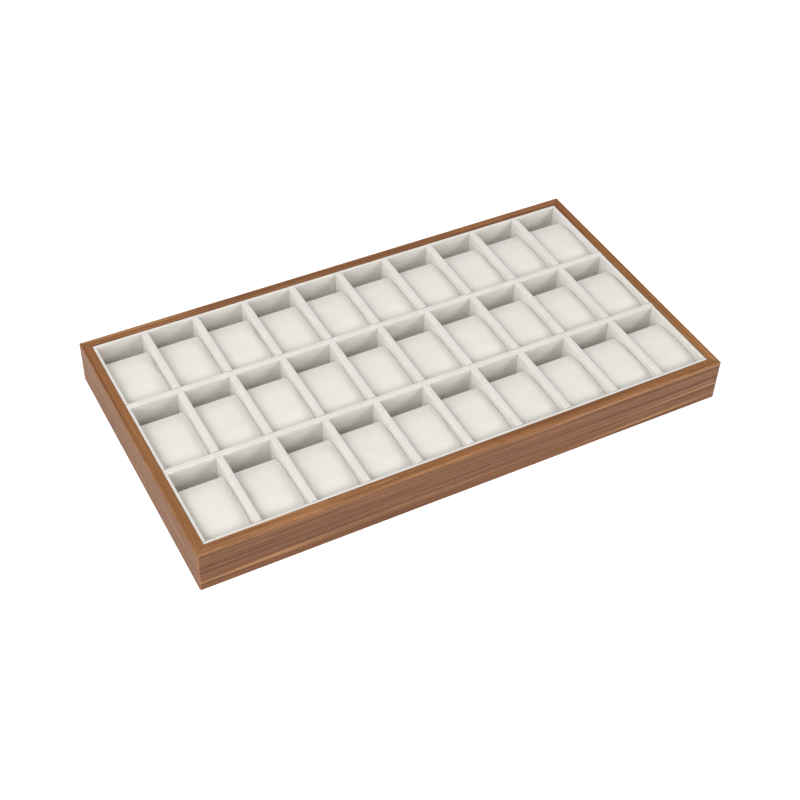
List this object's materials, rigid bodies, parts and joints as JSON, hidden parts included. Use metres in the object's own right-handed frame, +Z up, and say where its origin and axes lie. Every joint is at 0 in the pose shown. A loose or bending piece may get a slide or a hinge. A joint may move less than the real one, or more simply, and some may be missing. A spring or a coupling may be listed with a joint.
{
  "type": "display tray",
  "caption": "Shallow wood-framed display tray with a fabric-lined grid of compartments and a soft lift-out cushion in each one.",
  "frame": {"origin": "centre of the tray's footprint, at the level of the surface that it stands on", "axes": "+X left to right along the long side, +Y from the front to the back, +Z up out of the compartments"},
  "size_m": [0.535, 0.292, 0.045],
  "materials": {
    "wood_grain_frame": "satin",
    "bare_board": "matte",
    "base_felt": "matte",
    "lining_microfibre": "matte",
    "cushion_microfibre": "matte"
  },
  "bodies": {
    "tray": {"front_rail": "wood_grain_frame", "back_rail": "wood_grain_frame", "left_rail": "wood_grain_frame", "right_rail": "wood_grain_frame", "corner_splines": "bare_board", "base_panel": "bare_board", "underside_felt": "base_felt", "floor_board": "lining_microfibre", "front_liner": "lining_microfibre", "back_liner": "lining_microfibre", "left_liner": "lining_microfibre", "right_liner": "lining_microfibre", "long_partition_1": "lining_microfibre", "long_partition_2": "lining_microfibre", "cross_partition_1": "lining_microfibre", "cross_partition_2": "lining_microfibre", "cross_partition_3": "lining_microfibre", "cross_partition_4": "lining_microfibre", "cross_partition_5": "lining_microfibre", "cross_partition_6": "lining_microfibre", "cross_partition_7": "lining_microfibre", "cross_partition_8": "lining_microfibre", "cross_partition_9": "lining_microfibre"},
    "loose_cushion_row1_column1": {"cushion_row1_column1": "cushion_microfibre"},
    "loose_cushion_row1_column2": {"cushion_row1_column2": "cushion_microfibre"},
    "loose_cushion_row1_column3": {"cushion_row1_column3": "cushion_microfibre"},
    "loose_cushion_row1_column4": {"cushion_row1_column4": "cushion_microfibre"},
    "loose_cushion_row1_column5": {"cushion_row1_column5": "cushion_microfibre"},
    "loose_cushion_row1_column6": {"cushion_row1_column6": "cushion_microfibre"},
    "loose_cushion_row1_column7": {"cushion_row1_column7": "cushion_microfibre"},
    "loose_cushion_row1_column8": {"cushion_row1_column8": "cushion_microfibre"},
    "loose_cushion_row1_column9": {"cushion_row1_column9": "cushion_microfibre"},
    "loose_cushion_row1_column10": {"cushion_row1_column10": "cushion_microfibre"},
    "loose_cushion_row2_column1": {"cushion_row2_column1": "cushion_microfibre"},
    "loose_cushion_row2_column2": {"cushion_row2_column2": "cushion_microfibre"},
    "loose_cushion_row2_column3": {"cushion_row2_column3": "cushion_microfibre"},
    "loose_cushion_row2_column4": {"cushion_row2_column4": "cushion_microfibre"},
    "loose_cushion_row2_column5": {"cushion_row2_column5": "cushion_microfibre"},
    "loose_cushion_row2_column6": {"cushion_row2_column6": "cushion_microfibre"},
    "loose_cushion_row2_column7": {"cushion_row2_column7": "cushion_microfibre"},
    "loose_cushion_row2_column8": {"cushion_row2_column8": "cushion_microfibre"},
    "loose_cushion_row2_column9": {"cushion_row2_column9": "cushion_microfibre"},
    "loose_cushion_row2_column10": {"cushion_row2_column10": "cushion_microfibre"},
    "loose_cushion_row3_column1": {"cushion_row3_column1": "cushion_microfibre"},
    "loose_cushion_row3_column2": {"cushion_row3_column2": "cushion_microfibre"},
    "loose_cushion_row3_column3": {"cushion_row3_column3": "cushion_microfibre"},
    "loose_cushion_row3_column4": {"cushion_row3_column4": "cushion_microfibre"},
    "loose_cushion_row3_column5": {"cushion_row3_column5": "cushion_microfibre"},
    "loose_cushion_row3_column6": {"cushion_row3_column6": "cushion_microfibre"},
    "loose_cushion_row3_column7": {"cushion_row3_column7": "cushion_microfibre"},
    "loose_cushion_row3_column8": {"cushion_row3_column8": "cushion_microfibre"},
    "loose_cushion_row3_column9": {"cushion_row3_column9": "cushion_microfibre"},
    "loose_cushion_row3_column10": {"cushion_row3_column10": "cushion_microfibre"}
  },
  "joints": [
    {"name": "lift_row1_column1", "type": "slide", "parent": "tray", "child": "loose_cushion_row1_column1", "axis": [0, 0, 1], "range_m": [0, 0.045]},
    {"name": "lift_row1_column2", "type": "slide", "parent": "tray", "child": "loose_cushion_row1_column2", "axis": [0, 0, 1], "range_m": [0, 0.045]},
    {"name": "lift_row1_column3", "type": "slide", "parent": "tray", "child": "loose_cushion_row1_column3", "axis": [0, 0, 1], "range_m": [0, 0.045]},
    {"name": "lift_row1_column4", "type": "slide", "parent": "tray", "child": "loose_cushion_row1_column4", "axis": [0, 0, 1], "range_m": [0, 0.045]},
    {"name": "lift_row1_column5", "type": "slide", "parent": "tray", "child": "loose_cushion_row1_column5", "axis": [0, 0, 1], "range_m": [0, 0.045]},
    {"name": "lift_row1_column6", "type": "slide", "parent": "tray", "child": "loose_cushion_row1_column6", "axis": [0, 0, 1], "range_m": [0, 0.045]},
    {"name": "lift_row1_column7", "type": "slide", "parent": "tray", "child": "loose_cushion_row1_column7", "axis": [0, 0, 1], "range_m": [0, 0.045]},
    {"name": "lift_row1_column8", "type": "slide", "parent": "tray", "child": "loose_cushion_row1_column8", "axis": [0, 0, 1], "range_m": [0, 0.045]},
    {"name": "lift_row1_column9", "type": "slide", "parent": "tray", "child": "loose_cushion_row1_column9", "axis": [0, 0, 1], "range_m": [0, 0.045]},
    {"name": "lift_row1_column10", "type": "slide", "parent": "tray", "child": "loose_cushion_row1_column10", "axis": [0, 0, 1], "range_m": [0, 0.045]},
    {"name": "lift_row2_column1", "type": "slide", "parent": "tray", "child": "loose_cushion_row2_column1", "axis": [0, 0, 1], "range_m": [0, 0.045]},
    {"name": "lift_row2_column2", "type": "slide", "parent": "tray", "child": "loose_cushion_row2_column2", "axis": [0, 0, 1], "range_m": [0, 0.045]},
    {"name": "lift_row2_column3", "type": "slide", "parent": "tray", "child": "loose_cushion_row2_column3", "axis": [0, 0, 1], "range_m": [0, 0.045]},
    {"name": "lift_row2_column4", "type": "slide", "parent": "tray", "child": "loose_cushion_row2_column4", "axis": [0, 0, 1], "range_m": [0, 0.045]},
    {"name": "lift_row2_column5", "type": "slide", "parent": "tray", "child": "loose_cushion_row2_column5", "axis": [0, 0, 1], "range_m": [0, 0.045]},
    {"name": "lift_row2_column6", "type": "slide", "parent": "tray", "child": "loose_cushion_row2_column6", "axis": [0, 0, 1], "range_m": [0, 0.045]},
    {"name": "lift_row2_column7", "type": "slide", "parent": "tray", "child": "loose_cushion_row2_column7", "axis": [0, 0, 1], "range_m": [0, 0.045]},
    {"name": "lift_row2_column8", "type": "slide", "parent": "tray", "child": "loose_cushion_row2_column8", "axis": [0, 0, 1], "range_m": [0, 0.045]},
    {"name": "lift_row2_column9", "type": "slide", "parent": "tray", "child": "loose_cushion_row2_column9", "axis": [0, 0, 1], "range_m": [0, 0.045]},
    {"name": "lift_row2_column10", "type": "slide", "parent": "tray", "child": "loose_cushion_row2_column10", "axis": [0, 0, 1], "range_m": [0, 0.045]},
    {"name": "lift_row3_column1", "type": "slide", "parent": "tray", "child": "loose_cushion_row3_column1", "axis": [0, 0, 1], "range_m": [0, 0.045]},
    {"name": "lift_row3_column2", "type": "slide", "parent": "tray", "child": "loose_cushion_row3_column2", "axis": [0, 0, 1], "range_m": [0, 0.045]},
    {"name": "lift_row3_column3", "type": "slide", "parent": "tray", "child": "loose_cushion_row3_column3", "axis": [0, 0, 1], "range_m": [0, 0.045]},
    {"name": "lift_row3_column4", "type": "slide", "parent": "tray", "child": "loose_cushion_row3_column4", "axis": [0, 0, 1], "range_m": [0, 0.045]},
    {"name": "lift_row3_column5", "type": "slide", "parent": "tray", "child": "loose_cushion_row3_column5", "axis": [0, 0, 1], "range_m": [0, 0.045]},
    {"name": "lift_row3_column6", "type": "slide", "parent": "tray", "child": "loose_cushion_row3_column6", "axis": [0, 0, 1], "range_m": [0, 0.045]},
    {"name": "lift_row3_column7", "type": "slide", "parent": "tray", "child": "loose_cushion_row3_column7", "axis": [0, 0, 1], "range_m": [0, 0.045]},
    {"name": "lift_row3_column8", "type": "slide", "parent": "tray", "child": "loose_cushion_row3_column8", "axis": [0, 0, 1], "range_m": [0, 0.045]},
    {"name": "lift_row3_column9", "type": "slide", "parent": "tray", "child": "loose_cushion_row3_column9", "axis": [0, 0, 1], "range_m": [0, 0.045]},
    {"name": "lift_row3_column10", "type": "slide", "parent": "tray", "child": "loose_cushion_row3_column10", "axis": [0, 0, 1], "range_m": [0, 0.045]}
  ]
}
